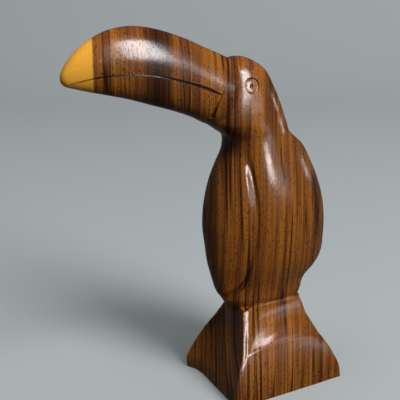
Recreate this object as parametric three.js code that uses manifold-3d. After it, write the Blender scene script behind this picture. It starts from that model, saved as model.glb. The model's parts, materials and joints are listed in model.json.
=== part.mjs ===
// A toucan carved, with the plinth it stands on, from one block of striped rosewood.
// Millimetres, +Z up. The beak points to -X and the origin is the middle of the underside.

import * as THREE from 'three';
import { mergeVertices } from 'three/addons/utils/BufferGeometryUtils.js';
import Module from 'manifold-3d';

const wasm = await Module();
wasm.setup();

// Wood
const HEARTWOOD_COLOUR = 0x5a2f1c;
const POLISH_ROUGHNESS = 0.3;

// Head, neck, body and stalk: level ribs about an upright line at the middle x.
// Each row: z, front x, middle x, back x, half width, squareness (2 is an ellipse),
// how far the breast stands out in front, angle from the front of the crease between breast
// and wing, depth of that crease, angle from the back of the flute, depth of the flute.
const BIRD_RIBS = [
  [187.2, -20.5, -20.5, -20.5, 0.0, 2.0, 0.0, 46, 0.0, 20, 0.0],
  [185.4, -28.0, -21.0, -13.6, 7.0, 2.0, 0.0, 46, 0.0, 20, 0.0],
  [180.5, -34.0, -17.5, -6.3, 11.3, 2.3, 0.0, 46, 0.0, 20, 0.0],
  [172.0, -37.0, -17.5, -0.7, 13.6, 2.4, 0.0, 46, 0.0, 20, 0.0],
  [162.0, -39.6, -17.0, 4.2, 14.8, 2.3, 0.0, 46, 0.0, 20, 0.0],
  [155.0, -38.8, -16.0, 7.2, 15.3, 2.2, 0.0, 46, 0.0, 20, 0.0],
  [150.0, -32.6, -12.5, 9.1, 15.7, 2.1, 0.0, 46, 0.0, 20, 0.0],
  [145.5, -26.9, -10.5, 11.2, 16.2, 2.1, 0.0, 46, 0.0, 21, 0.0],
  [138.0, -26.2, -8.5, 19.6, 17.8, 2.1, 0.6, 46, 0.1, 23, 0.5],
  [130.0, -27.4, -7.0, 24.2, 19.8, 2.1, 3.8, 48, 1.2, 29, 1.0],
  [120.0, -28.9, -5.0, 29.0, 22.0, 2.1, 6.4, 50, 1.4, 33, 1.1],
  [108.0, -30.2, -4.0, 33.2, 23.6, 2.1, 7.6, 52, 1.1, 37, 0.6],
  [96.0, -30.2, -3.5, 35.3, 23.9, 2.1, 8.3, 51, 0.8, 40, 0.2],
  [84.0, -29.6, -3.0, 35.7, 22.8, 2.1, 7.6, 46, 0.8, 40, 0.0],
  [75.0, -28.6, -2.5, 35.0, 20.8, 2.2, 7.3, 39, 1.0, 40, 0.0],
  [68.0, -27.4, -2.0, 31.5, 18.0, 2.3, 6.5, 32, 1.4, 40, 0.0],
  [62.0, -26.8, -1.5, 24.9, 15.2, 2.5, 5.2, 21, 1.8, 40, 0.0],
  [57.5, -27.2, -1.0, 22.0, 13.4, 2.9, 4.3, 11, 1.7, 40, 0.0],
  [54.6, -28.2, -0.5, 21.6, 12.6, 3.0, 2.8, 7, 1.0, 40, 0.0],
  [53.4, -28.4, 0.0, 21.4, 12.2, 3.0, 1.2, 6, 0.2, 40, 0.0],
  [50.0, -26.2, 0.0, 20.6, 10.4, 3.0, 0.0, 6, 0.0, 40, 0.0],
  [44.0, -21.0, 0.0, 18.6, 6.0, 3.0, 0.0, 6, 0.0, 40, 0.0],
];
const BIRD_RING_STEPS = 3;
const BREAST_POINTS = 4;
const WING_POINTS = 6;
const BACK_POINTS = 3;
const CREASE_SPREAD_BREAST = 9;
const CREASE_SPREAD_WING = 6;
const FLUTE_SPREAD = 5;

// Beak: ribs between the top and the bottom line.
// Each row: top x, top z, bottom x, bottom z, half width, squareness (2 is an ellipse).
const BEAK_RIBS = [
  [-115.3, 182.6, -115.3, 182.6, 0.0, 2.2],
  [-114.0, 186.9, -113.8, 179.6, 3.0, 2.2],
  [-108.6, 193.7, -109.2, 177.9, 5.2, 2.2],
  [-100.8, 199.5, -101.5, 175.7, 7.0, 2.2],
  [-91.0, 203.7, -92.5, 173.4, 8.6, 2.2],
  [-79.0, 205.0, -82.0, 170.6, 10.2, 2.25],
  [-66.0, 202.9, -70.5, 166.8, 11.4, 2.5],
  [-52.5, 198.3, -58.5, 162.8, 12.1, 2.8],
  [-40.5, 193.0, -47.5, 158.4, 12.8, 2.5],
  [-30.5, 188.6, -38.5, 153.9, 13.7, 2.3],
  [-23.0, 184.0, -31.0, 154.0, 12.2, 2.3],
  [-19.0, 172.0, -19.0, 172.0, 0.0, 2.3],
];
const BEAK_RING_STEPS = 2;
const BEAK_POINTS = 20;

// Mouth line: a thin groove along both sides of the beak, through these x and z
const MOUTH_LINE = [[-112, 180.4], [-103, 182.6], [-90, 183.8], [-70, 182], [-50, 176.2], [-35.4, 169.8]];
const MOUTH_STEPS = 20;
const MOUTH_WIDTH = 1.2;
const MOUTH_DEPTH = 1.8;
const MOUTH_BAND_DEPTH = 60;
const THINNEST_BEAK = 0.3;

// Eye: a ring cut round a raised pupil with a dimple
const EYE_CENTRE = [-19.9, 13.5, 173.6];
const EYE_TILT = 15;
const EYE_RING_RADIUS = 3.6;
const EYE_RING_WIDTH = 0.75;
const EYE_DIMPLE_RADIUS = 0.9;

// Plinth: ribs of four bowed edges that meet in rounded arrises.
// Each row: z, middle x, then from there corner x, corner y, middle of the ends (x), middle of
// the sides (y), rounding of the back arrises and of the front's far one, drop at the corners,
// rise at the middle of the sides, which arches the lower edge of the scoop, depth of the scoop,
// where it is deepest (x), its reach from there to the right, how much nearer the front's near
// corner is, and how much the sides draw in towards the back.
const PLINTH_RIBS = [
  [0.0, 0.3, 37.1, 27.3, 33.3, 27.5, 1.2, 1.6, 0.0, 0.0, 0.0, -21, 14, 2.4, 0.0],
  [6.5, -0.4, 36.8, 27.1, 32.1, 27.1, 1.2, 1.8, 0.0, 0.0, 0.0, -21, 14, 3.3, 0.0],
  [12.2, -0.3, 34.6, 26.4, 29.8, 26.2, 1.4, 2.2, 0.0, 0.4, 0.0, -21, 14, 1.4, 0.0],
  [19.2, -0.3, 31.4, 24.7, 26.9, 24.4, 1.8, 2.8, 0.0, 1.6, 0.0, -21, 14, 0.0, 0.4],
  [25.6, -0.4, 28.0, 22.6, 23.5, 22.2, 2.5, 3.4, 0.0, 4.0, 0.2, -21, 14, 0.0, 1.1],
  [28.0, -0.5, 26.8, 21.4, 22.3, 21.4, 3.0, 3.8, 0.0, 3.9, 1.1, -19, 14, 0.0, 1.4],
  [31.6, -0.7, 25.6, 19.7, 21.3, 20.1, 3.6, 4.8, 0.0, 3.2, 2.0, -16, 16, 0.0, 1.7],
  [35.2, -0.9, 24.3, 18.1, 20.9, 18.6, 4.0, 6.0, 0.0, 2.4, 2.4, -13, 24, 0.0, 1.9],
  [38.6, -1.3, 23.1, 16.8, 20.5, 17.0, 4.4, 7.4, 0.0, 1.6, 2.4, -9, 34, 0.0, 2.0],
  [42.0, -1.3, 22.2, 15.6, 20.5, 15.6, 4.8, 9.0, 0.0, 0.9, 2.3, -7, 36, 0.0, 2.0],
  [46.0, -1.4, 21.5, 14.3, 20.2, 14.3, 5.0, 11.0, 0.4, 0.3, 2.0, -6, 36, 0.0, 2.0],
  [49.6, -1.5, 20.7, 13.3, 19.7, 13.2, 5.0, 12.0, 1.8, 0.0, 1.7, -6, 36, 0.0, 2.0],
  [52.0, -1.5, 20.4, 13.2, 19.5, 13.0, 5.0, 12.0, 2.6, 0.0, 1.7, -6, 36, 0.0, 2.0],
];
const CORNER_DROP_POWER = 4;
const ARCH_POWER = 3;
const PLINTH_END_POINTS = 6;
const PLINTH_SIDE_POINTS = 12;
const ARRIS_POINTS = 3;
const END_FLARE = 3.6;
const END_SKEW = 0.6;
const SIDE_FLARE = 3;
const RIDGE_ROUNDING = 1;
const RIDGE_WIDTH = 3.2;
const RIDGE_BEVEL = 0.8;
const SCOOP_WALL = 3;

// Row of a table at t, on a smooth curve through its rows; ghost stands ahead of the first
function rowAt(rows, t, ghost) {
  const last = rows.length - 1;
  const i = Math.min(Math.floor(t), last - 1);
  const f = t - i;
  const f2 = f * f;
  const f3 = f2 * f;
  const p1 = rows[i];
  const p2 = rows[i + 1];
  const p0 = i > 0 ? rows[i - 1] : ghost;
  const p3 = i + 2 <= last ? rows[i + 2] : p2.map((value, k) => 2 * value - p1[k]);
  return p1.map((start, k) => {
    const leave = (p2[k] - p0[k]) / 2;
    const arrive = (p3[k] - start) / 2;
    const ends = start * (2 * f3 - 3 * f2 + 1) + p2[k] * (3 * f2 - 2 * f3);
    return ends + leave * (f3 - 2 * f2 + f) + arrive * (f3 - f2);
  });
}

// Closed surface from rings of equal length; a ring of one point is a pole
function loft(rings) {
  const position = [];
  const starts = [];
  for (const ring of rings) {
    starts.push(position.length / 3);
    for (const point of ring) {
      position.push(...point);
    }
  }
  const index = [];
  const around = Math.max(...rings.map((ring) => ring.length));
  const at = (k, i) => starts[k] + (rings[k].length === 1 ? 0 : i % around);
  for (let k = 0; k + 1 < rings.length; k++) {
    for (let i = 0; i < around; i++) {
      const a = at(k, i);
      const b = at(k, i + 1);
      const c = at(k + 1, i + 1);
      const d = at(k + 1, i);
      if (a !== b) {
        index.push(a, b, c);
      }
      if (c !== d) {
        index.push(a, c, d);
      }
    }
  }
  const geometry = new THREE.BufferGeometry();
  geometry.setAttribute('position', new THREE.Float32BufferAttribute(position, 3));
  geometry.setIndex(index);
  return geometry;
}

function enclosedVolume(position, index) {
  const a = new THREE.Vector3();
  const b = new THREE.Vector3();
  const c = new THREE.Vector3();
  let sum = 0;
  for (let i = 0; i < index.length; i += 3) {
    a.fromArray(position, index[i] * 3);
    b.fromArray(position, index[i + 1] * 3);
    c.fromArray(position, index[i + 2] * 3);
    sum += a.dot(b.cross(c)) / 6;
  }
  return sum;
}

// Manifold solid of a closed geometry, with its faces turned outward
function solid(geometry) {
  geometry.deleteAttribute('normal');
  geometry.deleteAttribute('uv');
  const merged = mergeVertices(geometry, 1e-4);
  const vertProperties = new Float32Array(merged.attributes.position.array);
  const triVerts = new Uint32Array(merged.index.array);
  if (enclosedVolume(vertProperties, triVerts) < 0) {
    for (let i = 0; i < triVerts.length; i += 3) {
      [triVerts[i], triVerts[i + 1]] = [triVerts[i + 1], triVerts[i]];
    }
  }
  return new wasm.Manifold(new wasm.Mesh({ numProp: 3, vertProperties, triVerts }));
}

// Distance from the middle of a rib to its edge: half axes a and b, squareness p
function reach(angle, a, b, p) {
  const c = Math.abs(Math.cos(angle)) / a;
  const s = Math.abs(Math.sin(angle)) / b;
  return Math.pow(Math.pow(c, p) + Math.pow(s, p), -1 / p);
}

// Depth of a groove that fades out over spread on either side
function groove(away, depth, spread) {
  return depth * Math.pow(Math.max(0, 1 - Math.pow(away / spread, 2)), 2);
}

// Edge of the bird's rib at an angle from the front: the wing form behind the crease and the
// breast form before it, which meet at the crease
function birdReach(angle, rib) {
  const frontReach = rib.middle - rib.front;
  const long = angle < Math.PI / 2 ? frontReach : rib.back - rib.middle;
  const fluteAway = Math.PI - rib.flute - angle;
  const creaseAway = angle - rib.crease;
  if (creaseAway >= 0) {
    return reach(angle, long, rib.half, rib.square)
      - groove(creaseAway, rib.creaseDepth, rib.creaseSpreadWing)
      - groove(fluteAway, rib.fluteDepth, rib.fluteSpread);
  }
  const meet = reach(rib.crease, frontReach, rib.half, rib.square);
  const breastLong = frontReach + rib.breast;
  const front = Math.pow(Math.cos(rib.crease) / breastLong, rib.square);
  const side = Math.pow(meet, -rib.square) - front;
  const breastWide = Math.sin(rib.crease) / Math.pow(side, 1 / rib.square);
  return reach(angle, breastLong, breastWide, rib.square)
    - groove(creaseAway, rib.creaseDepth, rib.creaseSpreadBreast);
}

function evenly(from, to, count) {
  return Array.from({ length: count }, (_, i) => from + (to - from) * i / count);
}

function birdRing(t, ghost) {
  const radians = THREE.MathUtils.degToRad;
  const [z, front, middle, back, half, square, breast, crease, creaseDepth, flute, fluteDepth] =
    rowAt(BIRD_RIBS, t, ghost);
  if (t === 0) {
    return [[middle, 0, z]];
  }
  const rib = {
    front,
    middle,
    back,
    half,
    square,
    breast: Math.max(breast, 0),
    crease: radians(crease),
    creaseDepth: Math.max(creaseDepth, 0),
    creaseSpreadBreast: radians(Math.min(CREASE_SPREAD_BREAST, crease * 0.6)),
    creaseSpreadWing: radians(CREASE_SPREAD_WING),
    flute: radians(flute),
    fluteDepth: Math.max(fluteDepth, 0),
    fluteSpread: radians(FLUTE_SPREAD),
  };
  const fluteAngle = Math.PI - rib.flute;
  const stops = [
    ...evenly(0, rib.crease - rib.creaseSpreadBreast, BREAST_POINTS),
    ...evenly(rib.crease - rib.creaseSpreadBreast, rib.crease, 2),
    ...evenly(rib.crease, rib.crease + rib.creaseSpreadWing, 2),
    ...evenly(rib.crease + rib.creaseSpreadWing, fluteAngle - rib.fluteSpread, WING_POINTS),
    ...evenly(fluteAngle - rib.fluteSpread, fluteAngle + rib.fluteSpread, 2),
    ...evenly(fluteAngle + rib.fluteSpread, Math.PI, BACK_POINTS),
    Math.PI,
  ];
  const side = stops.map((angle) => {
    const r = birdReach(angle, rib);
    return [middle - r * Math.cos(angle), r * Math.sin(angle), z];
  });
  side[0][1] = 0;
  side[side.length - 1][1] = 0;
  const mirrored = side.slice(1, -1).reverse().map(([x, y, height]) => [x, -y, height]);
  return [...side, ...mirrored];
}

function birdForm() {
  const ghost = [...BIRD_RIBS[1]];
  [ghost[1], ghost[3], ghost[4]] = [ghost[3], ghost[1], -ghost[4]];
  const rings = [];
  const steps = (BIRD_RIBS.length - 1) * BIRD_RING_STEPS;
  for (let k = 0; k <= steps; k++) {
    rings.push(birdRing(k / BIRD_RING_STEPS, ghost));
  }
  const [foot, , middle] = BIRD_RIBS[BIRD_RIBS.length - 1];
  rings.push([[middle, 0, foot]]);
  return loft(rings);
}

// Beak, with its half width made less by inset
function beakForm(inset) {
  const [topX, topZ, bottomX, bottomZ, half, square] = BEAK_RIBS[1];
  const ghost = [bottomX, bottomZ, topX, topZ, -half, square];
  const rings = [];
  const steps = (BEAK_RIBS.length - 1) * BEAK_RING_STEPS;
  for (let k = 0; k <= steps; k++) {
    const rib = rowAt(BEAK_RIBS, k / BEAK_RING_STEPS, ghost);
    if (k === 0 || k === steps) {
      rings.push([[rib[0], 0, rib[1]]]);
      continue;
    }
    const width = Math.max(rib[4] - inset, THINNEST_BEAK);
    rings.push(evenly(0, 2 * Math.PI, BEAK_POINTS).map((angle) => {
      const r = reach(angle, 1, 1, rib[5]);
      const along = (1 - r * Math.cos(angle)) / 2;
      return [
        rib[0] + (rib[2] - rib[0]) * along,
        width * r * Math.sin(angle),
        rib[1] + (rib[3] - rib[1]) * along,
      ];
    }));
  }
  return loft(rings);
}

// Thin band along the mouth line, right through the beak
function mouthBand() {
  const line = new THREE.SplineCurve(MOUTH_LINE.map(([x, z]) => new THREE.Vector2(x, z)));
  const points = line.getPoints(MOUTH_STEPS);
  const half = MOUTH_WIDTH / 2;
  const upper = points.map((p) => new THREE.Vector2(p.x, p.y + half));
  const lower = points.map((p) => new THREE.Vector2(p.x, p.y - half)).reverse();
  const shape = new THREE.Shape([...upper, ...lower]);
  const band = new THREE.ExtrudeGeometry(shape, { depth: MOUTH_BAND_DEPTH, bevelEnabled: false });
  band.rotateX(Math.PI / 2);
  band.translate(0, MOUTH_BAND_DEPTH / 2, 0);
  return band;
}

// Cutters for one eye; side is 1 or -1
function eyeCutters(side) {
  const ring = new THREE.TorusGeometry(EYE_RING_RADIUS, EYE_RING_WIDTH, 6, 20);
  ring.rotateX(Math.PI / 2);
  const dimple = new THREE.SphereGeometry(EYE_DIMPLE_RADIUS, 10, 6);
  return [ring, dimple].map((geometry) => {
    geometry.rotateX(side * THREE.MathUtils.degToRad(EYE_TILT));
    geometry.translate(EYE_CENTRE[0], side * EYE_CENTRE[1], EYE_CENTRE[2]);
    return solid(geometry);
  });
}

function plinthRing(rib) {
  const [z, middle, cornerX, cornerY, endMiddle, sideMiddle, arris, farArris, drop, rise] = rib;
  const [scoop, deepest, scoopReach, slant, taper] = rib.slice(10);
  const ridge = Math.min(arris, RIDGE_ROUNDING);
  const nearX = cornerX - slant;
  const backY = cornerY - taper;
  const endBow = (y) => 1 - Math.pow(Math.abs(y / cornerY), END_FLARE);
  const frontX = (y) => {
    const corner = cornerX - slant * (1 - y / cornerY) / 2;
    return -corner - (endMiddle - corner) * endBow(y) * (1 + END_SKEW * y / cornerY);
  };
  const backX = (y) => cornerX + (endMiddle - cornerX) * endBow(y);
  const within = (value) => Math.min(Math.max(value, 0), 1);
  const sideY = (x) => {
    const drawn = cornerY - taper * (1 + x / cornerX) / 2;
    const bow = (sideMiddle - cornerY) * (1 - Math.pow(Math.abs(x / cornerX), SIDE_FLARE));
    const left = Math.pow(within((deepest - x) / (deepest + cornerX - RIDGE_WIDTH)), SCOOP_WALL);
    const right = Math.pow(within((x - deepest) / scoopReach), 2);
    const bevel = within((RIDGE_WIDTH - cornerX - x) / RIDGE_WIDTH) * RIDGE_BEVEL;
    return drawn + bow - scoop * Math.pow(1 - left - right, 2) - bevel;
  };
  // Rounding from a point on one edge to a point on the next, drawn towards the corner
  const round = (from, corner, to) => evenly(0, 1, ARRIS_POINTS).map((f) => [0, 1].map((k) =>
    from[k] * (1 - f) * (1 - f) + 2 * corner[k] * f * (1 - f) + to[k] * f * f));
  const sideStop = cornerX - arris;
  const backStop = backY - arris;
  const farStop = farArris - cornerX;
  const frontStop = cornerY - farArris;
  const ridgeX = ridge - nearX;
  const ridgeY = ridge - cornerY;
  const outline = [
    ...evenly(-backStop, backStop, PLINTH_END_POINTS).map((y) => [backX(y), y]),
    ...round([backX(backStop), backStop], [cornerX, backY], [sideStop, sideY(sideStop)]),
    ...evenly(sideStop, farStop, PLINTH_SIDE_POINTS).map((x) => [x, sideY(x)]),
    ...round([farStop, sideY(farStop)], [-cornerX, cornerY], [frontX(frontStop), frontStop]),
    ...evenly(frontStop, ridgeY, PLINTH_END_POINTS).map((y) => [frontX(y), y]),
    ...round([frontX(ridgeY), ridgeY], [-nearX, -cornerY], [ridgeX, -sideY(ridgeX)]),
    ...evenly(ridgeX, sideStop, PLINTH_SIDE_POINTS).map((x) => [x, -sideY(x)]),
    ...round([sideStop, -sideY(sideStop)], [cornerX, -backY], [backX(-backStop), -backStop]),
  ];
  return outline.map(([x, y]) => {
    const out = Math.abs(x / cornerX);
    const fall = drop * Math.pow(out, CORNER_DROP_POWER);
    return [middle + x, y, z - fall + rise * (1 - Math.pow(out, ARCH_POWER))];
  });
}

function plinthForm() {
  const rings = PLINTH_RIBS.map(plinthRing);
  const [top] = PLINTH_RIBS[PLINTH_RIBS.length - 1];
  return loft([[[0, 0, 0]], ...rings, [[0, 0, top]]]);
}

function carving() {
  const mouth = solid(mouthBand()).subtract(solid(beakForm(MOUTH_DEPTH)));
  let carved = solid(beakForm(0)).subtract(mouth).add(solid(birdForm())).add(solid(plinthForm()));
  for (const cutter of [...eyeCutters(1), ...eyeCutters(-1)]) {
    carved = carved.subtract(cutter);
  }
  return carved;
}

function geometryOf(manifold) {
  const mesh = manifold.getMesh();
  const geometry = new THREE.BufferGeometry();
  geometry.setAttribute('position', new THREE.BufferAttribute(new Float32Array(mesh.vertProperties), 3));
  geometry.setIndex(new THREE.BufferAttribute(new Uint32Array(mesh.triVerts), 1));
  geometry.computeVertexNormals();
  return geometry;
}

const wood = new THREE.MeshStandardMaterial({
  color: HEARTWOOD_COLOUR,
  roughness: POLISH_ROUGHNESS,
  metalness: 0,
});
const toucan = new THREE.Mesh(geometryOf(carving()), wood);
toucan.name = 'toucan';

const sculpture = new THREE.Group();
sculpture.name = 'toucan_sculpture';
sculpture.add(toucan);

export default sculpture;
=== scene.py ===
"""A toucan carved, with the plinth it stands on, from one block of striped rosewood.

The tables are in millimetres and degrees, +Z up. The beak points to -X and the origin is the
middle of the underside. The meshes and the settings are in metres.
"""

import json
import math

import bpy
import numpy as np
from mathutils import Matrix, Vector

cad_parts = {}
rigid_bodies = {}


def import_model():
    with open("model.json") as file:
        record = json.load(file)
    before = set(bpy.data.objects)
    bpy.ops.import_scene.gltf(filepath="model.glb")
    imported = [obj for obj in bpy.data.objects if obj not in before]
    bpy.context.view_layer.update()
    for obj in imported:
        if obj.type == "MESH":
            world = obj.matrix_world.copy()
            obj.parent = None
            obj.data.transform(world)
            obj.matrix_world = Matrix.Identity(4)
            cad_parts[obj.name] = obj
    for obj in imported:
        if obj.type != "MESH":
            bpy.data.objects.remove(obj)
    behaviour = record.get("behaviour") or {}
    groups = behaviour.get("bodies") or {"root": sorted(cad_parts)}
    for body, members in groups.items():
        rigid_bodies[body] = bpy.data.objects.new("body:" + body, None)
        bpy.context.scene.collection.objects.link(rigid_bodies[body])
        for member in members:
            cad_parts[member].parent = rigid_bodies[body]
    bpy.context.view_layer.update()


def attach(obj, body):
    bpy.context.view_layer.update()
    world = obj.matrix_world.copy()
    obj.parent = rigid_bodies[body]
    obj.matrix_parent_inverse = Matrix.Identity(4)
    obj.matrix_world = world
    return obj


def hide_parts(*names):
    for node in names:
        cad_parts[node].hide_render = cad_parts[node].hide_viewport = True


for left_over in list(bpy.data.objects):
    bpy.data.objects.remove(left_over)
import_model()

bl_info = {
    "name": "Toucan carving",
    "version": (1, 0, 0),
    "blender": (4, 5, 0),
    "location": "View3D > Sidebar > Toucan",
    "description": "Builds a polished toucan carving on its plinth, with a pale studio round it",
    "category": "Object",
}

MM = 0.001
CAD_NODE = "toucan"
BODY = "root"

# Head, neck, body and stalk: level ribs about an upright line at the middle x.
# Each row: z, front x, middle x, back x, half width, squareness (2 is an ellipse),
# how far the breast stands out in front, angle from the front of the crease between breast
# and wing, depth of that crease, angle from the back of the flute, depth of the flute.
BIRD_RIBS = (
    (187.2, -20.5, -20.5, -20.5, 0.0, 2.0, 0.0, 46, 0.0, 20, 0.0),
    (185.4, -28.0, -21.0, -13.6, 7.0, 2.0, 0.0, 46, 0.0, 20, 0.0),
    (180.5, -34.0, -17.0, -6.3, 11.3, 2.2, 0.0, 46, 0.0, 20, 0.0),
    (172.0, -37.0, -16.5, -0.7, 13.6, 2.15, 0.0, 46, 0.0, 20, 0.0),
    (162.0, -39.6, -16.5, 4.2, 14.8, 2.2, 0.0, 46, 0.0, 20, 0.0),
    (155.0, -38.8, -16.0, 7.2, 15.3, 2.2, 0.0, 46, 0.0, 20, 0.0),
    (150.0, -32.6, -12.5, 9.1, 15.7, 2.1, 0.0, 46, 0.0, 20, 0.0),
    (145.5, -26.9, -10.5, 11.2, 16.2, 2.1, 0.0, 46, 0.0, 21, 0.0),
    (138.0, -26.2, -8.5, 19.6, 17.8, 2.1, 0.6, 46, 0.1, 23, 0.5),
    (130.0, -27.4, -7.0, 24.2, 19.8, 2.1, 3.8, 48, 1.2, 29, 1.0),
    (120.0, -28.9, -5.0, 29.0, 22.0, 2.1, 6.4, 50, 1.4, 33, 1.1),
    (108.0, -30.2, -4.0, 33.2, 23.6, 2.1, 7.6, 52, 1.1, 37, 0.6),
    (96.0, -30.2, -3.5, 35.3, 23.9, 2.1, 8.3, 51, 0.8, 40, 0.2),
    (84.0, -29.6, -3.0, 35.7, 22.8, 2.1, 7.6, 46, 0.8, 40, 0.0),
    (75.0, -28.6, -2.5, 35.0, 20.8, 2.2, 7.3, 39, 1.0, 40, 0.0),
    (68.0, -27.4, -2.0, 31.5, 18.0, 2.3, 6.7, 32, 1.8, 40, 0.0),
    (62.0, -26.8, -1.5, 24.9, 15.2, 2.5, 5.6, 25, 1.8, 40, 0.0),
    (57.5, -26.9, -1.0, 22.0, 13.4, 2.9, 3.8, 14, 1.6, 40, 0.0),
    (54.6, -27.2, -0.5, 21.6, 12.6, 3.0, 1.6, 8, 0.8, 40, 0.0),
    (53.4, -27.0, 0.0, 21.4, 12.2, 3.0, 0.6, 6, 0.0, 40, 0.0),
    (50.0, -25.4, 0.0, 20.9, 10.4, 3.0, 0.0, 6, 0.0, 40, 0.0),
    (44.0, -21.0, 0.0, 20.2, 6.0, 3.0, 0.0, 6, 0.0, 40, 0.0),
)
# Columns of these rows that are used by name
Z, FRONT, MIDDLE, BACK, HALF = range(5)
CREASE, FLUTE = 7, 9
BIRD_RING_SPACING = 0.75
BREAST_POINTS = 22
CREASE_POINTS = 9
WING_POINTS = 46
FLUTE_POINTS = 10
BACK_POINTS = 14
CREASE_SPREAD_BREAST = 9
CREASE_SPREAD_WING = 6
CREASE_SHARE_OF_BREAST = 0.6
FLUTE_SPREAD = 5

# Beak: ribs between the top and the bottom line.
# Each row: top x, top z, bottom x, bottom z, half width, squareness (2 is an ellipse).
BEAK_RIBS = (
    (-115.3, 182.6, -115.3, 182.6, 0.0, 2.2),
    (-114.0, 186.9, -113.8, 179.6, 3.0, 2.2),
    (-108.6, 193.7, -109.2, 177.9, 5.2, 2.2),
    (-100.8, 199.5, -101.5, 175.7, 7.0, 2.2),
    (-91.0, 203.7, -92.5, 173.4, 8.6, 2.2),
    (-79.0, 205.0, -82.0, 170.6, 10.2, 2.25),
    (-66.0, 202.9, -70.5, 166.8, 11.4, 2.5),
    (-52.5, 198.3, -58.5, 162.8, 12.1, 2.8),
    (-40.5, 193.0, -47.5, 158.4, 12.8, 2.5),
    (-30.5, 188.6, -38.5, 153.9, 13.7, 2.3),
    (-23.0, 184.0, -31.0, 154.0, 12.2, 2.3),
    (-19.0, 172.0, -19.0, 172.0, 0.0, 2.3),
)
BEAK_RING_SPACING = 0.9
BEAK_POINTS = 112

# Lines cut into both sides: the mouth, the seam where the beak meets the head, and the foot of
# the belly.
# Each row: x, z, how many times the line width in the settings the line is wide there.
MOUTH_LINE = (
    (-112, 180.4, 0.3),
    (-103, 182.6, 0.5),
    (-90, 183.8, 0.7),
    (-70, 182, 0.8),
    (-50, 176.2, 1.2),
    (-40.5, 172.2, 1.1),
    (-37.2, 170.7, 0.4),
)
SEAM_LINE = (
    (-30.0, 189.0, 0.5),
    (-32.3, 182.3, 0.4),
    (-34.6, 176.0, 0.3),
    (-37.8, 169.2, 0.5),
    (-40.0, 163.0, 1.0),
    (-40.6, 158.1, 2.2),
    (-39.9, 152.0, 3.4),
)
BELLY_LINE = (
    (-18.0, 69.5, 0.3),
    (-21.2, 66.4, 0.8),
    (-22.8, 62.8, 1.5),
    (-25.2, 59.8, 1.7),
    (-27.0, 57.6, 1.6),
    (-28.8, 55.4, 1.4),
    (-32.0, 52.0, 1.2),
)
LINE_POINTS = 70
LINE_REACH = 60
THINNEST = 0.3

# Plinth: ribs of four bowed edges that meet in rounded arrises.
# Each row: z, middle x, then from there corner x, corner y, middle of the ends (x), middle of
# the sides (y), rounding of the back arrises, rounding of the front's far one, drop at the
# corners, rise at the middle of the sides, which arches the lower edge of the scoop, depth of the
# scoop, where it is deepest (x), its reach from there to the right, how much nearer the front's
# near corner is, and how much the sides draw in towards the back.
PLINTH_RIBS = (
    (0.0, 0.3, 37.1, 27.3, 33.3, 27.5, 1.2, 1.6, 0.0, 0.0, 0.0, -21, 14, 2.4, 0.0),
    (6.5, -0.4, 36.8, 27.1, 32.1, 27.1, 1.2, 1.8, 0.0, 0.0, 0.0, -21, 14, 3.3, 0.0),
    (12.2, -0.3, 34.6, 26.4, 29.8, 26.2, 1.4, 2.2, 0.0, 0.4, 0.0, -21, 14, 1.4, 0.0),
    (19.2, -0.3, 31.4, 24.7, 26.9, 24.4, 1.8, 2.8, 0.0, 1.6, 0.0, -21, 14, 0.0, 0.4),
    (24.0, -0.4, 28.8, 23.2, 24.2, 22.7, 2.2, 3.2, 0.0, 3.6, 0.0, -21, 14, 0.0, 0.9),
    (25.6, -0.4, 28.0, 22.6, 23.5, 22.2, 2.5, 3.4, 0.0, 4.0, 0.0, -21, 14, 0.0, 1.1),
    (26.4, -0.5, 27.5, 22.2, 23.1, 21.9, 2.7, 3.5, 0.0, 4.0, 0.4, -20, 14, 0.0, 1.2),
    (28.0, -0.5, 26.8, 21.4, 22.3, 21.4, 3.0, 3.8, 0.0, 3.9, 1.1, -19, 14, 0.0, 1.4),
    (31.6, -0.7, 25.6, 19.7, 21.3, 20.1, 3.6, 4.8, 0.0, 3.2, 2.0, -16, 16, 0.0, 1.7),
    (35.2, -0.9, 24.3, 18.1, 20.9, 18.6, 4.0, 6.0, 0.0, 2.4, 2.4, -13, 24, 0.0, 1.9),
    (38.6, -1.3, 23.1, 16.8, 20.5, 17.0, 4.4, 7.4, 0.0, 1.6, 2.4, -9, 34, 0.0, 2.0),
    (42.0, -1.3, 22.2, 15.6, 20.5, 15.6, 4.8, 9.0, 0.0, 0.9, 2.3, -7, 36, 0.0, 2.0),
    (46.0, -1.4, 21.5, 14.3, 20.2, 14.3, 5.0, 11.0, 0.4, 0.3, 2.0, -6, 36, 0.0, 2.0),
    (49.3, -1.5, 20.8, 13.4, 19.8, 13.5, 5.0, 12.0, 1.7, 0.0, 1.7, -6, 36, 0.0, 2.0),
    (49.9, -1.5, 20.7, 13.1, 19.6, 13.0, 5.0, 12.0, 1.8, 0.0, 1.7, -6, 36, 0.0, 2.0),
    (50.7, -1.5, 20.6, 13.0, 19.5, 12.8, 5.0, 12.0, 1.9, 0.0, 1.7, -6, 36, 0.0, 2.0),
    (52.0, -1.5, 20.4, 13.2, 19.5, 13.0, 5.0, 12.0, 2.6, 0.0, 1.7, -6, 36, 0.0, 2.0),
)
PLINTH_RING_SPACING = 0.8
END_POINTS = 32
SIDE_POINTS = 70
ARRIS_POINTS = 10
RIDGE_ROUNDING = 1.0
RIDGE_WIDTH = 3.2
RIDGE_BEVEL = 0.45
# How much deeper the front bows in towards its far side, as a share
FRONT_SKEW = 0.6
# Powers of a distance from 0 to 1: the higher, the later and the steeper a form turns
CORNER_DROP_POWER = 4
ARCH_POWER = 3
END_FLARE_POWER = 3.6
SIDE_FLARE_POWER = 3
SCOOP_WALL_POWER = 3

# Fewest rings from one row of a table to the next
FEWEST_STEPS = 3

EYE_RING_POINTS = 72
EYE_GOUGE_POINTS = 16
EYE_DIMPLE_LEVELS = 4

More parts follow.
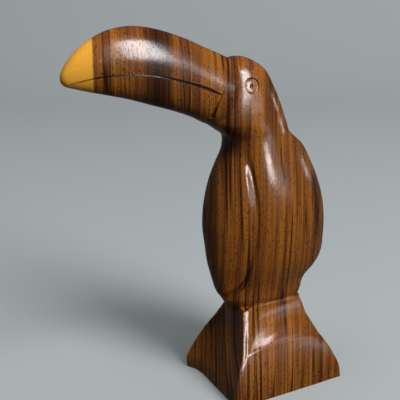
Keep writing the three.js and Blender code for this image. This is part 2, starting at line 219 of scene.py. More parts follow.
# Figure of the wood: how often each pattern repeats in a millimetre, across the grain twice and
# then along it, and the widths in millimetres of what has an edge
WAVERS_PER_MM = (0.04, 0.04, 0.008)
PORES_PER_MM = (1.3, 1.3, 0.4)
PORE_PATCHES_PER_MM = (0.6, 0.6, 0.15)
WAVES_PER_MM = 0.45
DARK_BAND_EDGE = 10.0
DARK_BAND_CORE = 2.0
DARK_BAND_STRENGTH = 0.85
SAP_EDGE = 0.4
LAYER_OFFSET = 7.0
# A pore is where the distance to its cell's middle, raised by the patches, is small
PORE_PATCHINESS = 0.6
PORE_EDGE = 0.6
PORE_CORE = 0.5
PORE_STRENGTH = 0.8
# Sockets of a Mix node for colours: the colour below, the one laid on it, and the result
BELOW, ABOVE, MIXED = 6, 7, 2

# The photograph's camera, with its place in metres
CAMERA_PLACE = (-0.2373, -0.3491, 0.2433)
VIEW_AXIS = (0.46398, 0.83020, -0.30902)
CAMERA_LENS_MM = 72
CAMERA_SENSOR_MM = 36

# Paper under and behind the carving, in metres. The reach is from the origin to either end.
PAPER_REACH = 1.6
PAPER_WIDTH = 4.0
PAPER_RISE = 1.6
PAPER_BEND_RADIUS = 0.8
PAPER_BEND_STEPS = 24

# Soft lights, which face the target. Each row: name, degrees to the right of the camera,
# degrees up, distance, width and height in metres, watts, colour, and whether the light is
# seen only as a gleam in the polish or else only lights what it falls on.
LIGHT_TARGET = Vector((-0.02, 0.0, 0.1))
LIGHTS = (
    ("right window", 44, 42, 2.8, 1.0, 1.8, 86, "#ffffff", False),
    ("window gleam", 43, 25, 1.5, 0.42, 1.1, 58, "#ffffff", True),
    ("window halo", 40, 38, 1.45, 0.5, 1.5, 5, "#ffffff", True),
    ("low window", 60, 3, 1.5, 0.5, 0.26, 2.6, "#e4ecf4", True),
    ("back window", 112, 4, 1.0, 0.16, 0.05, 0.28, "#ffffff", True),
    ("left fill", -60, 72, 1.6, 0.8, 0.8, 4, "#ffffff", False),
    ("ceiling", 0, 88, 3.0, 4.0, 4.0, 32, "#ffffff", False),
)


def linear(colour):
    """Linear RGBA of an sRGB colour written as #rrggbb."""
    channels = [int(colour[i:i + 2], 16) / 255 for i in (1, 3, 5)]
    return [c / 12.92 if c <= 0.04045 else ((c + 0.055) / 1.055) ** 2.4 for c in channels] + [1.0]


def add(tree, kind, sockets=None, **settings):
    """A node of this kind in the tree, with its settings made and its sockets set or linked."""
    node = tree.nodes.new(kind)
    for name, value in settings.items():
        setattr(node, name, value)
    for name, value in (sockets or {}).items():
        if isinstance(value, bpy.types.NodeSocket):
            tree.links.new(value, node.inputs[name])
        else:
            node.inputs[name].default_value = value
    return node


# Forms


def table_rows(table, places, ghost):
    """Rows of a table at these places, on smooth curves; ghost stands ahead of the first row."""
    rows = np.array(table, float)
    rows = np.vstack([ghost, rows, 2 * rows[-1] - rows[-2]])
    start = np.minimum(places.astype(int), len(table) - 2)
    f = (places - start)[:, None]
    p0, p1, p2, p3 = (rows[start + k] for k in range(4))
    leave = (p2 - p0) / 2
    arrive = (p3 - p1) / 2
    ends = p1 * (2 * f**3 - 3 * f**2 + 1) + p2 * (3 * f**2 - 2 * f**3)
    return ends + leave * (f**3 - 2 * f**2 + f) + arrive * (f**3 - f**2)


def places_along(points, spacing):
    """Places along a table, so close that these points of its rows lie about spacing apart."""
    steps = np.linalg.norm(np.diff(np.array(points, float), axis=0), axis=1)
    counts = np.maximum(np.ceil(steps / spacing).astype(int), FEWEST_STEPS)
    parts = [k + np.arange(count) / count for k, count in enumerate(counts)]
    return np.append(np.concatenate(parts), len(points) - 1)


def smooth_line(corners, count):
    """This many points on a smooth curve through the corners."""
    rows = np.array(corners, float)
    places = np.linspace(0, len(rows) - 1, count)
    return table_rows(rows, places, 2 * rows[0] - rows[1])


def reach(angle, a, b, square):
    """Distance from the middle of a rib to its edge, for half axes a and b."""
    return ((np.abs(np.cos(angle)) / a) ** square + (np.abs(np.sin(angle)) / b) ** square) ** (-1 / square)


def groove(away, depth, spread):
    """Depth of a groove that fades out over spread on either side."""
    return depth * np.maximum(0, 1 - (away / spread) ** 2) ** 2


def crease_on_breast(crease):
    """How far the crease, at this angle from the front, spreads over the breast."""
    return min(math.radians(CREASE_SPREAD_BREAST), crease * CREASE_SHARE_OF_BREAST)


def bird_reach(angle, rib):
    """Edge of the bird's rib at angles from the front: breast, crease, wing and flute."""
    front, middle, back, half, square, breast, crease, crease_depth, flute, flute_depth = rib[1:]
    crease, flute = math.radians(crease), math.radians(flute)
    breast, crease_depth, flute_depth = (max(v, 0) for v in (breast, crease_depth, flute_depth))
    length = np.where(angle < math.pi / 2, middle - front, back - middle)
    wing = reach(angle, length, half, square)
    wing -= groove(angle - crease, crease_depth, math.radians(CREASE_SPREAD_WING))
    wing -= groove(math.pi - flute - angle, flute_depth, math.radians(FLUTE_SPREAD))
    meet = reach(crease, middle - front, half, square)
    long = middle - front + breast
    wide = math.sin(crease) / (meet**-square - (math.cos(crease) / long) ** square) ** (1 / square)
    chest = reach(angle, long, wide, square)
    chest -= groove(angle - crease, crease_depth, crease_on_breast(crease))
    return np.where(angle >= crease, wing, chest)


def bird_angles(rib):
    """Angles from the front to the back, closer together at the crease and the flute."""
    crease, flute = math.radians(rib[CREASE]), math.pi - math.radians(rib[FLUTE])
    stops = (0, crease - crease_on_breast(crease), crease, crease + math.radians(CREASE_SPREAD_WING),
             flute - math.radians(FLUTE_SPREAD), flute + math.radians(FLUTE_SPREAD), math.pi)
    counts = (BREAST_POINTS, CREASE_POINTS, CREASE_POINTS, WING_POINTS, FLUTE_POINTS, BACK_POINTS)
    parts = [np.linspace(a, b, n, endpoint=False) for a, b, n in zip(stops, stops[1:], counts)]
    return np.append(np.concatenate(parts), math.pi)


def bird_rings(inset=0):
    """Rings round the bird, drawn in by inset, with the poles that close them."""
    ghost = list(BIRD_RIBS[1])
    ghost[FRONT], ghost[BACK], ghost[HALF] = ghost[BACK], ghost[FRONT], -ghost[HALF]
    places = places_along([(row[Z], row[FRONT]) for row in BIRD_RIBS], BIRD_RING_SPACING)
    rings = []
    for rib in table_rows(BIRD_RIBS, places[1:], ghost):
        if inset:
            rib[FRONT] = min(rib[FRONT] + inset, rib[MIDDLE] - THINNEST)
            rib[BACK] = max(rib[BACK] - inset, rib[MIDDLE] + THINNEST)
            rib[HALF] = max(rib[HALF] - inset, THINNEST)
        angle = bird_angles(rib)
        r = bird_reach(angle, rib)
        x, y, z = rib[MIDDLE] - r * np.cos(angle), r * np.sin(angle), np.full(len(r), rib[Z])
        y[0] = y[-1] = 0
        side = np.stack([x, y, z], axis=1)
        rings.append(np.vstack([side, side[-2:0:-1] * (1, -1, 1)]))
    top, foot = BIRD_RIBS[0], BIRD_RIBS[-1]
    return rings, (top[MIDDLE], 0, top[Z]), (foot[MIDDLE], 0, foot[Z])


def beak_ring(rib, angle, inset):
    """One ring round the beak, with its half width made less by inset."""
    top_x, top_z, bottom_x, bottom_z, half, square = rib
    r = reach(angle, 1, 1, square)
    down = (1 - r * np.cos(angle)) / 2
    x = top_x + (bottom_x - top_x) * down
    z = top_z + (bottom_z - top_z) * down
    return np.stack([x, max(half - inset, THINNEST) * r * np.sin(angle), z], axis=1)


def beak_rings(inset=0):
    """Rings round the beak, drawn in by inset, with the poles that close them."""
    top_x, top_z, bottom_x, bottom_z, half, square = BEAK_RIBS[1]
    ghost = (bottom_x, bottom_z, top_x, top_z, -half, square)
    places = places_along([row[:2] for row in BEAK_RIBS], BEAK_RING_SPACING)
    angle = np.linspace(0, 2 * math.pi, BEAK_POINTS, endpoint=False)
    rings = [beak_ring(rib, angle, inset) for rib in table_rows(BEAK_RIBS, places, ghost)[1:-1]]
    tip, root = BEAK_RIBS[0], BEAK_RIBS[-1]
    return rings, (tip[0], 0, tip[1]), (root[0], 0, root[1])


def plinth_ring(rib):
    """One ring round the plinth, with its scoops and its front ridge."""
    z, middle, corner_x, corner_y, end_middle, side_middle, arris, far_arris, drop, rise = rib[:10]
    scoop, deepest, scoop_reach, slant, taper = rib[10:]
    ridge = min(arris, RIDGE_ROUNDING)
    near_x = corner_x - slant
    back_y = corner_y - taper

    def front_x(y):
        corner = corner_x - slant * (1 - y / corner_y) / 2
        bow = 1 - np.abs(y / corner_y) ** END_FLARE_POWER
        return -corner - (end_middle - corner) * bow * (1 + FRONT_SKEW * y / corner_y)

    def back_x(y):
        bow = 1 - np.abs(y / corner_y) ** END_FLARE_POWER
        return corner_x + (end_middle - corner_x) * bow

    def side_y(x):
        edge = corner_y - taper * (1 + x / corner_x) / 2
        edge += (side_middle - corner_y) * (1 - np.abs(x / corner_x) ** SIDE_FLARE_POWER)
        left = np.clip((deepest - x) / (deepest + corner_x - RIDGE_WIDTH), 0, 1) ** SCOOP_WALL_POWER
        right = np.clip((x - deepest) / scoop_reach, 0, 1) ** 2
        bevel = np.clip((RIDGE_WIDTH - corner_x - x) / RIDGE_WIDTH, 0, 1) * RIDGE_BEVEL
        return edge - scoop * (1 - left - right) ** 2 - bevel

    def spaced(start, stop, count):
        return np.linspace(start, stop, count, endpoint=False)

    def rounding(start, corner, stop):
        f = spaced(0, 1, ARRIS_POINTS)[:, None]
        return np.array(start) * (1 - f) ** 2 + 2 * np.array(corner) * f * (1 - f) + np.array(stop) * f**2

    y_back = spaced(arris - back_y, back_y - arris, END_POINTS)
    x_far = spaced(corner_x - arris, far_arris - corner_x, SIDE_POINTS)
    y_front = spaced(corner_y - far_arris, ridge - corner_y, END_POINTS)
    x_near = spaced(ridge - near_x, corner_x - arris, SIDE_POINTS)
    back = np.stack([back_x(y_back), y_back], axis=1)
    far = np.stack([x_far, side_y(x_far)], axis=1)
    front = np.stack([front_x(y_front), y_front], axis=1)
    near = np.stack([x_near, -side_y(x_near)], axis=1)
    x_back, y_stop = corner_x - arris, back_y - arris
    x_front, y_ridge = far_arris - corner_x, ridge - corner_y
    outline = np.vstack([
        back, rounding((back_x(y_stop), y_stop), (corner_x, back_y), far[0]),
        far, rounding((x_front, side_y(x_front)), (-corner_x, corner_y), front[0]),
        front, rounding((front_x(y_ridge), y_ridge), (-near_x, -corner_y), near[0]),
        near, rounding((x_back, -side_y(x_back)), (corner_x, -back_y), back[0]),
    ])
    out = np.abs(outline[:, 0] / corner_x)
    level = z - drop * out**CORNER_DROP_POWER + rise * (1 - out**ARCH_POWER)
    return np.stack([middle + outline[:, 0], outline[:, 1], level], axis=1)


def plinth_rings():
    """Rings round the plinth, with the poles that close them."""
    places = places_along([(row[0], row[3]) for row in PLINTH_RIBS], PLINTH_RING_SPACING)
    ghost = 2 * np.array(PLINTH_RIBS[0]) - np.array(PLINTH_RIBS[1])
    rings = [plinth_ring(rib) for rib in table_rows(PLINTH_RIBS, places, ghost)]
    return rings, (0, 0, 0), (0, 0, PLINTH_RIBS[-1][0])


def closed_object(name, points, faces):
    """Object of a closed mesh, its faces turned outwards."""
    mesh = bpy.data.meshes.new(name)
    mesh.from_pydata(points.tolist(), [], faces)
    volume = sum(np.dot(points[f[0]], np.cross(points[f[k]], points[f[k + 1]]))
                 for f in faces for k in range(1, len(f) - 1))
    if volume < 0:
        mesh.flip_normals()
    made = bpy.data.objects.new(name, mesh)
    bpy.context.scene.collection.objects.link(made)
    return made


def loft(name, rings, first, last):
    """Closed surface through rings of equal length, with a pole at each end."""
    around, count = len(rings[0]), len(rings)
    points = np.vstack([*rings, first, last]) * MM
    i = np.arange(around)
    following = (i + 1) % around
    quads = [np.stack([k * around + i, k * around + following, (k + 1) * around + following,
                       (k + 1) * around + i], axis=1) for k in range(count - 1)]
    faces = np.vstack(quads).tolist()
    pole = count * around
    faces += np.stack([np.full(around, pole), following, i], axis=1).tolist()
    end = (count - 1) * around
    faces += np.stack([np.full(around, pole + 1), end + i, end + following], axis=1).tolist()
    return closed_object(name, points, faces)


def settle(made):
    """Works the object's modifiers into its mesh."""
    bpy.context.view_layer.update()
    evaluated = made.evaluated_get(bpy.context.evaluated_depsgraph_get())
    mesh = bpy.data.meshes.new_from_object(evaluated)
    made.modifiers.clear()
    old, made.data = made.data, mesh
    bpy.data.meshes.remove(old)


def combine(base, other, operation):
    """Joins the other solid to base, or cuts it away from base; the other one is used up."""
    before = len(base.data.vertices)
    modifier = base.modifiers.new("combine", "BOOLEAN")
    modifier.solver = "MANIFOLD"
    modifier.operation = operation
    modifier.object = other
    settle(base)
    spent = other.data
    bpy.data.objects.remove(other)
    bpy.data.meshes.remove(spent)
    if len(base.data.vertices) in (0, before):
        raise RuntimeError(f"{operation} left {base.name} as it was")


# Cutters, made by geometry nodes


def nodes_object(name, tree, values, points=((0, 0, 0),), edges=(), widths=None):
    """Object whose mesh is what the tree makes of these points, at these values of its inputs."""
    mesh = bpy.data.meshes.new(name)
    mesh.from_pydata([tuple(c * MM for c in p) for p in points], list(edges), [])
    if widths is not None:
        mesh.attributes.new("width", "FLOAT", "POINT").data.foreach_set("value", widths)
    made = bpy.data.objects.new(name, mesh)
    bpy.context.scene.collection.objects.link(made)
    modifier = made.modifiers.new("nodes", "NODES")
    modifier.node_group = tree
    for item in tree.interface.items_tree:
        if item.item_type == "SOCKET" and item.in_out == "INPUT" and item.name in values:
            modifier[item.identifier] = values[item.name]
    settle(made)
    if not made.data.polygons:
        raise RuntimeError(f"{name} has no faces")
    return made


def new_tree(name, inputs):
    """Geometry tree with these inputs, each (name, kind, default), and what its input node gives."""
    tree = bpy.data.node_groups.new(name, "GeometryNodeTree")
    tree.interface.new_socket("Geometry", in_out="INPUT", socket_type="NodeSocketGeometry")
    for title, kind, default in inputs:
        socket = tree.interface.new_socket(title, in_out="INPUT", socket_type="NodeSocket" + kind)
        if default is not None:
            socket.default_value = default
    tree.interface.new_socket("Geometry", in_out="OUTPUT", socket_type="NodeSocketGeometry")
    return tree, add(tree, "NodeGroupInput").outputs


def finish_tree(tree, geometry, material):
    """Ends a tree with real faces of this material."""
    real = add(tree, "GeometryNodeRealizeInstances", {"Geometry": geometry})
    painted = add(tree, "GeometryNodeSetMaterial", {"Geometry": real.outputs[0], "Material": material})
    add(tree, "NodeGroupOutput", {"Geometry": painted.outputs[0]})


def line_tree():
    """Sweeps a section along a path of edges. Across is the section's half size in the path's
    plane, Reach its half size square to that, and the attribute width scales both on the way."""
    tree, given = new_tree("line cutter", (
        ("Across", "Float", 0.001), ("Reach", "Float", 0.001), ("Sides", "Int", 4),
        ("Material", "Material", None)))
    curve = add(tree, "GeometryNodeMeshToCurve", {"Mesh": given["Geometry"]})
    flat = add(tree, "GeometryNodeSetCurveNormal", {"Curve": curve.outputs[0]}, mode="Z_UP")
    circle = add(tree, "GeometryNodeCurvePrimitiveCircle", {"Resolution": given["Sides"], "Radius": 1.0})
    size = add(tree, "ShaderNodeCombineXYZ", {"X": given["Reach"], "Y": given["Across"], "Z": 1.0})
    section = add(tree, "GeometryNodeTransform", {"Geometry": circle.outputs[0], "Scale": size.outputs[0]})
    width = add(tree, "GeometryNodeInputNamedAttribute", {"Name": "width"}, data_type="FLOAT")
    swept = add(tree, "GeometryNodeCurveToMesh", {
        "Curve": flat.outputs[0], "Profile Curve": section.outputs[0], "Scale": width.outputs[0],
        "Fill Caps": True})
    finish_tree(tree, swept.outputs[0], given["Material"])
    return tree


def eye_tree():
    """A ring and a dimple for each side of the head, turned to lie flat on it."""
    tree, given = new_tree("eye cutters", (
        ("Ring radius", "Float", 0.0036), ("Gouge radius", "Float", 0.0007),
        ("Dimple radius", "Float", 0.0009), ("Centre", "Vector", (0, 0, 0)),
        ("Tilt", "Float", 0.2), ("Material", "Material", None)))
    ring = add(tree, "GeometryNodeCurvePrimitiveCircle", {
        "Resolution": EYE_RING_POINTS, "Radius": given["Ring radius"]})
    section = add(tree, "GeometryNodeCurvePrimitiveCircle", {
        "Resolution": EYE_GOUGE_POINTS, "Radius": given["Gouge radius"]})
    tube = add(tree, "GeometryNodeCurveToMesh", {
        "Curve": ring.outputs[0], "Profile Curve": section.outputs[0]})
    dimple = add(tree, "GeometryNodeMeshIcoSphere", {
        "Radius": given["Dimple radius"], "Subdivisions": EYE_DIMPLE_LEVELS})
    both = add(tree, "GeometryNodeJoinGeometry")
    tree.links.new(tube.outputs[0], both.inputs[0])
    tree.links.new(dimple.outputs[0], both.inputs[0])

    # The near eye is the far one's mirror image, twice its y away
    apart = add(tree, "ShaderNodeVectorMath", {0: given["Centre"], 1: (0, -2, 0)}, operation="MULTIPLY")
    line = add(tree, "GeometryNodeMeshLine", {
        "Count": 2, "Start Location": given["Centre"], "Offset": apart.outputs[0]}, mode="OFFSET")

    # Side is 1 for the far eye, which leans one way, and -1 for the near one, which leans the other
    index = add(tree, "GeometryNodeInputIndex")
    side = add(tree, "ShaderNodeMath", {0: index.outputs[0], 1: -2.0, 2: 1.0}, operation="MULTIPLY_ADD")
    lean = add(tree, "ShaderNodeMath", {0: side.outputs[0], 1: given["Tilt"], 2: math.pi / 2},
               operation="MULTIPLY_ADD")
    turn = add(tree, "ShaderNodeCombineXYZ", {"X": lean.outputs[0]})
    placed = add(tree, "GeometryNodeInstanceOnPoints", {
        "Points": line.outputs[0], "Instance": both.outputs[0], "Rotation": turn.outputs[0]})
    finish_tree(tree, placed.outputs[0], given["Material"])
    return tree


# Materials


def empty_material(name):
    """Material with no nodes yet, and its tree."""
    material = bpy.data.materials.new(name)
    material.use_nodes = True
    material.node_tree.nodes.clear()
    return material, material.node_tree


def polished_rosewood(wood):
    """Cocobolo rosewood, sanded and polished with wax. The rings stand as upright stripes of
    golden brown and purple black, the pores are short dark dashes along the grain and dots on
    end grain, and the wax gives a soft gloss. The sapwood at the beak's end is yellow."""
    material, tree = empty_material("rosewood_wax_polished")
    place = add(tree, "ShaderNodeTexCoord").outputs["Object"]
    grain = add(tree, "ShaderNodeMapping", {"Vector": place, "Scale": (1 / MM,) * 3}).outputs[0]

    # Rings: distance from an upright pith beside the block, wavering slowly up the tree
    waver = add(tree, "ShaderNodeMapping", {"Vector": grain, "Scale": WAVERS_PER_MM}).outputs[0]
    waver = add(tree, "ShaderNodeTexNoise", {"Vector": waver, "Scale": 1.0, "Detail": 1.0}).outputs[0]
    pith = add(tree, "ShaderNodeMapping", {
        "Vector": grain, "Location": (-wood.pith[0] / MM, -wood.pith[1] / MM, 0),
        "Scale": (1, 1, 0)}).outputs[0]
    ring = add(tree, "ShaderNodeVectorMath", {0: pith}, operation="LENGTH").outputs["Value"]
    ring = add(tree, "ShaderNodeMath", {0: waver, 1: wood.waver / MM, 2: ring},
               operation="MULTIPLY_ADD").outputs[0]
    up = add(tree, "ShaderNodeSeparateXYZ", {0: grain}).outputs[2]

    # Growth: each layer is laid on where its noise comes near a value.
    # Each row: width, change along the grain (1/mm), detail, value, distances from it at which
    # the layer starts and is full, strength, colour.
    layers = (
        (wood.zone, 0.004, 1.0, 0.75, 0.3, 0.1, 0.6, wood.pale),
        (wood.broad, 0.008, 1.0, 0.25, 0.36, 0.14, 0.8, wood.brown),
        (wood.line, 0.02, 1.5, 0.3, 0.22, 0.06, 0.5, wood.brown),
        (wood.stripe / 2, 0.008, 0.5, 0.5, 0.05, 0.0, 0.35, wood.dark),
        (wood.stripe, 0.004, 1.5, 0.5, 0.028, 0.006, 0.85, wood.dark),
    )
    colour = wood.gold
    for number, (width, along, detail, value, far, near, strength, tint) in enumerate(layers):
        x = add(tree, "ShaderNodeMath", {0: ring, 1: MM / width}, operation="MULTIPLY").outputs[0]
        z = add(tree, "ShaderNodeMath", {0: up, 1: along}, operation="MULTIPLY").outputs[0]
        at = add(tree, "ShaderNodeCombineXYZ", {0: x, 1: z, 2: LAYER_OFFSET * number}).outputs[0]
        noise = add(tree, "ShaderNodeTexNoise", {
            "Vector": at, "Scale": 1.0, "Detail": detail, "Roughness": 0.5}).outputs[0]
        away = add(tree, "ShaderNodeMath", {0: noise, 1: value}, operation="SUBTRACT").outputs[0]
        away = add(tree, "ShaderNodeMath", {0: away}, operation="ABSOLUTE").outputs[0]
        share = add(tree, "ShaderNodeMapRange", {
            "Value": away, "From Min": far, "From Max": near, "To Max": strength},
            interpolation_type="SMOOTHSTEP").outputs[0]
        colour = add(tree, "ShaderNodeMix", {0: share, BELOW: colour, ABOVE: tint},
                     data_type="RGBA").outputs[MIXED]

    # The darkest growth: a purple-black band of rings, soft at its edges
    band = add(tree, "ShaderNodeMath", {0: ring, 1: wood.dark_ring / MM}, operation="SUBTRACT").outputs[0]
    band = add(tree, "ShaderNodeMath", {0: band}, operation="ABSOLUTE").outputs[0]
    band = add(tree, "ShaderNodeMapRange", {
        "Value": band, "From Min": DARK_BAND_EDGE, "From Max": DARK_BAND_CORE,
        "To Max": DARK_BAND_STRENGTH}, interpolation_type="SMOOTHSTEP").outputs[0]
    colour = add(tree, "ShaderNodeMix", {0: band, BELOW: colour, ABOVE: wood.dark},
                 data_type="RGBA").outputs[MIXED]

    # Pores: drawn half a millimetre across, coarser than they are, so that they show
    cells = add(tree, "ShaderNodeMapping", {"Vector": grain, "Scale": PORES_PER_MM}).outputs[0]
    cells = add(tree, "ShaderNodeTexVoronoi", {"Vector": cells, "Scale": 1.0}).outputs["Distance"]
    patches = add(tree, "ShaderNodeMapping", {"Vector": grain, "Scale": PORE_PATCHES_PER_MM}).outputs[0]
    patches = add(tree, "ShaderNodeTexNoise", {"Vector": patches, "Scale": 1.0, "Detail": 2.0}).outputs[0]
    cells = add(tree, "ShaderNodeMath", {0: patches, 1: PORE_PATCHINESS, 2: cells},
                operation="MULTIPLY_ADD").outputs[0]
    pores = add(tree, "ShaderNodeMapRange", {"Value": cells, "From Min": PORE_EDGE, "From Max": PORE_CORE},
                interpolation_type="SMOOTHSTEP").outputs[0]
    share = add(tree, "ShaderNodeMath", {0: pores, 1: PORE_STRENGTH}, operation="MULTIPLY").outputs[0]
    colour = add(tree, "ShaderNodeMix", {0: share, BELOW: colour, ABOVE: wood.pore},
                 data_type="RGBA").outputs[MIXED]

    # Sapwood: outside one ring, with faint lines and no dark pores
    edge = add(tree, "ShaderNodeMapRange", {
        "Value": ring, "From Min": wood.sap_ring / MM - SAP_EDGE,
        "From Max": wood.sap_ring / MM + SAP_EDGE}).outputs[0]
    x = add(tree, "ShaderNodeMath", {0: ring, 1: MM / wood.line}, operation="MULTIPLY").outputs[0]
    at = add(tree, "ShaderNodeCombineXYZ", {0: x}).outputs[0]
    noise = add(tree, "ShaderNodeTexNoise", {"Vector": at, "Scale": 1.0, "Detail": 2.0}).outputs[0]
    sap = add(tree, "ShaderNodeMix", {0: noise, BELOW: wood.sap, ABOVE: wood.sap_line},
              data_type="RGBA").outputs[MIXED]
    colour = add(tree, "ShaderNodeMix", {0: edge, BELOW: colour, ABOVE: sap},
                 data_type="RGBA").outputs[MIXED]

    # Surface: open pores in the polish, and the slight waves that hand sanding leaves
    waves = add(tree, "ShaderNodeTexNoise", {
        "Vector": grain, "Scale": WAVES_PER_MM, "Detail": 2.0}).outputs[0]
    height = add(tree, "ShaderNodeMath", {0: pores, 1: -wood.pore_depth, 2: waves},
                 operation="MULTIPLY_ADD").outputs[0]
    bump = add(tree, "ShaderNodeBump", {"Height": height, "Strength": 1.0, "Distance": wood.waves})
    shader = add(tree, "ShaderNodeBsdfPrincipled", {
        "Base Color": colour, "Roughness": wood.roughness, "IOR": wood.ior, "Normal": bump.outputs[0]})
    add(tree, "ShaderNodeOutputMaterial", {"Surface": shader.outputs[0]})
    return material


def matt_paper(colour):
    """Seamless background paper, uncoated and matt, so that it takes the light without a gleam."""
    material, tree = empty_material("background_paper")
    shader = add(tree, "ShaderNodeBsdfPrincipled", {"Base Color": colour, "Roughness": 0.9})
    add(tree, "ShaderNodeOutputMaterial", {"Surface": shader.outputs[0]})
    return material


# Studio


def paper_sweep():
    """Paper that lies flat under the carving and curves up behind it."""
    away = Vector(VIEW_AXIS).xy.normalized()
    across = Vector((-away.y, away.x))
    bend = PAPER_REACH - PAPER_BEND_RADIUS
    profile = [(-PAPER_REACH, 0.0), (bend, 0.0)]
    for k in range(1, PAPER_BEND_STEPS + 1):
        a = k / PAPER_BEND_STEPS * math.pi / 2
        profile.append((bend + PAPER_BEND_RADIUS * math.sin(a), PAPER_BEND_RADIUS * (1 - math.cos(a))))
    profile.append((PAPER_REACH, PAPER_RISE))
    points = [(*(away * u + across * side * PAPER_WIDTH / 2), z) for u, z in profile for side in (-1, 1)]
    faces = [(2 * k, 2 * k + 2, 2 * k + 3, 2 * k + 1) for k in range(len(profile) - 1)]
    mesh = bpy.data.meshes.new("paper_sweep")
    mesh.from_pydata(points, [], faces)
    mesh.flip_normals()
    mesh.shade_smooth()
    made = bpy.data.objects.new("paper_sweep", mesh)
    bpy.context.scene.collection.objects.link(made)
    return made


def softbox(name, turn, rise, distance, width, height, watts, colour, gleam):
    """Area light from a row of the table of lights."""
    back = Vector(VIEW_AXIS) * -1
    angle = math.atan2(back.y, back.x) + math.radians(turn)
    up = math.radians(rise)
    spot = Vector((math.cos(angle) * math.cos(up), math.sin(angle) * math.cos(up), math.sin(up)))
    light = bpy.data.lights.new(name, "AREA")
    light.shape = "RECTANGLE"
    light.size, light.size_y = width, height
    light.energy = watts
    light.color = linear(colour)[:3]
    made = bpy.data.objects.new(name, light)
    made.location = LIGHT_TARGET + spot * distance
    made.rotation_euler = (-spot).to_track_quat("-Z", "Y").to_euler()
    made.visible_glossy = gleam
    made.visible_diffuse = not gleam
    bpy.context.scene.collection.objects.link(made)


# Settings


def length_setting(name, description, default, **more):
    """Setting in metres."""
    return bpy.props.FloatProperty(
        name=name, description=description, default=default, unit="LENGTH", precision=6, **more)


def colour_setting(name, description, colour):
    """Setting that starts as an sRGB colour written as #rrggbb."""
    return bpy.props.FloatVectorProperty(
        name=name, description=description, default=linear(colour), size=4, min=0, max=1,
        subtype="COLOR")


class ToucanSizes(bpy.types.PropertyGroup):
    """Sizes of the lines and the eyes cut into the carving."""

    line_width: length_setting(
        "Line width", "Size of the cutter that makes the lines, which come out slightly wider",
        0.0012, min=0.0002)
    line_depth: length_setting(
        "Line depth", "Depth of the lines at the mouth, beside the head and at the belly's foot",
        0.0026, min=0.0002)
    eye_centre: bpy.props.FloatVectorProperty(
        name="Eye centre", description="Middle of the far side's eye, which the near one mirrors",
        default=(-0.0199, 0.0135, 0.1736), unit="LENGTH", precision=6)
    eye_tilt: bpy.props.FloatProperty(
        name="Eye tilt", description="How far the eye's face leans upwards",
        default=math.radians(15), unit="ROTATION")
    eye_ring_radius: length_setting(
        "Eye ring radius", "Radius of the ring cut round the eye", 0.0036, min=0.001)
    eye_gouge_radius: length_setting(
        "Eye gouge radius", "Radius of the gouge that cuts the ring", 0.0009, min=0.0002)
    eye_dimple_radius: length_setting(
        "Pupil radius", "Radius of the dimple in the middle of the eye", 0.0012, min=0.0002)
    sharp_angle: bpy.props.FloatProperty(
        name="Sharp edge angle", description="Edges that turn more than this are shaded sharp",
        default=math.radians(38), unit="ROTATION")


class ToucanWood(bpy.types.PropertyGroup):
    """Colours, figure and polish of the rosewood."""

    pale: colour_setting("Palest heartwood", "Colour of the broad pale zones", "#9c601c")
    gold: colour_setting("Light heartwood", "Colour between the stripes", "#975a1b")
    brown: colour_setting("Brown heartwood", "Colour of the bands and the fine lines", "#5e3218")
    dark: colour_setting("Dark heartwood", "Colour of the stripes and the darkest band", "#220e08")
    pore: colour_setting("Pores", "Colour inside the open pores", "#1a0a04")
    sap: colour_setting("Sapwood", "Colour of the pale wood at the beak's end", "#f0b142")
    sap_line: colour_setting("Sapwood lines", "Colour of the fine lines in the sapwood", "#d79126")
    pith: bpy.props.FloatVectorProperty(
        name="Pith", description="Where the upright middle of the tree stands beside the block",
        size=2, default=(0.178, -0.109), unit="LENGTH", precision=6)
    waver: length_setting("Waver", "How far the rings wander from true circles", 0.002)
    zone: length_setting("Pale zone width", "Size of the pale zones across the rings", 0.009, min=0.0001)
    broad: length_setting("Band width", "Size of the brown bands across the rings", 0.0024, min=0.0001)
    line: length_setting("Fine line width", "Size of the fine lines across the rings", 0.0006, min=0.0001)
    stripe: length_setting("Stripe spacing", "Size of the dark stripes' pattern", 0.0042, min=0.0001)
    sap_ring: length_setting("Sapwood ring", "Distance from the pith at which sapwood starts", 0.2986)
    dark_ring: length_setting("Darkest ring", "Distance from the pith to the darkest band", 0.2677)
    waves: length_setting("Wave height", "Height of the waves that sanding leaves", 0.00003)
    pore_depth: bpy.props.FloatProperty(
        name="Pore depth", description="Depth of the pores, in wave heights", default=1.5, min=0)
    roughness: bpy.props.FloatProperty(
        name="Roughness", description="Roughness of the wax polish", default=0.19, min=0, max=1,
        subtype="FACTOR")
    ior: bpy.props.FloatProperty(
        name="Refractive index", description="How strongly the polish reflects", default=1.32, min=1)


class ToucanStudio(bpy.types.PropertyGroup):
    """Colours of the floor and of the air round it."""

    floor_colour: colour_setting("Floor colour", "Colour of the paper under the carving", "#a4aaab")
    air_colour: colour_setting("Air colour", "Colour of the light that comes from all round", "#dfe6ea")
    air_strength: bpy.props.FloatProperty(
        name="Air strength", description="Strength of the light that comes from all round",
        default=0.1, min=0)


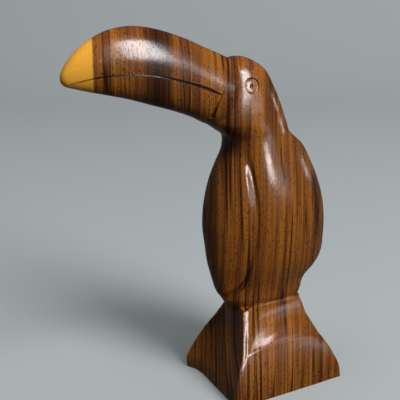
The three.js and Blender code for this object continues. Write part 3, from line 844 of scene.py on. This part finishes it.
class TOUCAN_OT_carving(bpy.types.Operator):
    """Builds the toucan and its plinth as one carved piece"""

    bl_idname = "toucan.carving"
    bl_label = "Carving"

    def execute(self, context):
        sizes = context.scene.toucan_sizes
        material = polished_rosewood(context.scene.toucan_wood)
        bird = loft("bird", *bird_rings())
        plinth = loft("plinth", *plinth_rings())
        carving = loft("toucan_carving", *beak_rings())

        # Each cutter keeps only what lies above the line's depth
        tree = line_tree()
        values = {"Across": sizes.line_width / math.sqrt(2), "Reach": LINE_REACH * MM, "Material": material}
        for name, corners, solid, rings in (
                ("mouth", MOUTH_LINE, carving, beak_rings), ("seam", SEAM_LINE, carving, beak_rings),
                ("belly", BELLY_LINE, bird, bird_rings)):
            line = smooth_line(corners, LINE_POINTS)
            cutter = nodes_object(
                name, tree, values, [(x, 0, z) for x, z, _ in line],
                [(k, k + 1) for k in range(LINE_POINTS - 1)], line[:, 2])
            combine(cutter, loft("core", *rings(sizes.line_depth / MM)), "DIFFERENCE")
            combine(solid, cutter, "DIFFERENCE")
        combine(carving, bird, "UNION")
        combine(carving, plinth, "UNION")
        eyes = nodes_object("eye cutters", eye_tree(), {
            "Ring radius": sizes.eye_ring_radius, "Gouge radius": sizes.eye_gouge_radius,
            "Dimple radius": sizes.eye_dimple_radius, "Centre": sizes.eye_centre,
            "Tilt": sizes.eye_tilt, "Material": material})
        combine(carving, eyes, "DIFFERENCE")
        mesh = carving.data
        mesh.materials.clear()
        mesh.materials.append(material)
        mesh.shade_smooth()
        mesh.set_sharp_from_angle(angle=sizes.sharp_angle)
        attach(carving, BODY)
        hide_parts(CAD_NODE)
        return {"FINISHED"}


class TOUCAN_OT_stage(bpy.types.Operator):
    """Sets up the paper sweep, the lights and the camera"""

    bl_idname = "toucan.stage"
    bl_label = "Stage"

    def execute(self, context):
        scene = context.scene
        studio = scene.toucan_studio
        paper = paper_sweep()
        paper.data.materials.append(matt_paper(studio.floor_colour))
        paper.visible_glossy = False
        paper.visible_diffuse = False
        for row in LIGHTS:
            softbox(*row)
        world = bpy.data.worlds.new("studio air")
        world.use_nodes = True
        tree = world.node_tree
        tree.nodes.clear()
        air = add(tree, "ShaderNodeBackground", {
            "Color": studio.air_colour, "Strength": studio.air_strength})
        add(tree, "ShaderNodeOutputWorld", {"Surface": air.outputs[0]})
        scene.world = world
        data = bpy.data.cameras.new("camera")
        data.lens, data.sensor_width = CAMERA_LENS_MM, CAMERA_SENSOR_MM
        camera = bpy.data.objects.new("camera", data)
        camera.location = CAMERA_PLACE
        camera.rotation_euler = Vector(VIEW_AXIS).to_track_quat("-Z", "Y").to_euler()
        scene.collection.objects.link(camera)
        scene.camera = camera
        scene.view_settings.view_transform = "Standard"
        return {"FINISHED"}


class TOUCAN_PT_sidebar(bpy.types.Panel):
    """Lists the steps and settings of the toucan"""

    bl_idname = "TOUCAN_PT_sidebar"
    bl_label = "Toucan"
    bl_space_type = "VIEW_3D"
    bl_region_type = "UI"
    bl_category = "Toucan"

    def draw(self, context):
        for group in ("toucan_sizes", "toucan_wood", "toucan_studio"):
            settings = getattr(context.scene, group)
            for name in settings.bl_rna.properties.keys():
                if name not in ("rna_type", "name"):
                    self.layout.prop(settings, name)
        self.layout.operator("toucan.carving")
        self.layout.operator("toucan.stage")


CLASSES = (ToucanSizes, ToucanWood, ToucanStudio, TOUCAN_OT_carving, TOUCAN_OT_stage, TOUCAN_PT_sidebar)


def register():
    for kind in CLASSES:
        bpy.utils.register_class(kind)
    bpy.types.Scene.toucan_sizes = bpy.props.PointerProperty(type=ToucanSizes)
    bpy.types.Scene.toucan_wood = bpy.props.PointerProperty(type=ToucanWood)
    bpy.types.Scene.toucan_studio = bpy.props.PointerProperty(type=ToucanStudio)


def unregister():
    del bpy.types.Scene.toucan_studio
    del bpy.types.Scene.toucan_wood
    del bpy.types.Scene.toucan_sizes
    for kind in reversed(CLASSES):
        bpy.utils.unregister_class(kind)


def main():
    register()
    bpy.ops.toucan.carving()
    bpy.ops.toucan.stage()


if __name__ == "__main__":
    main()
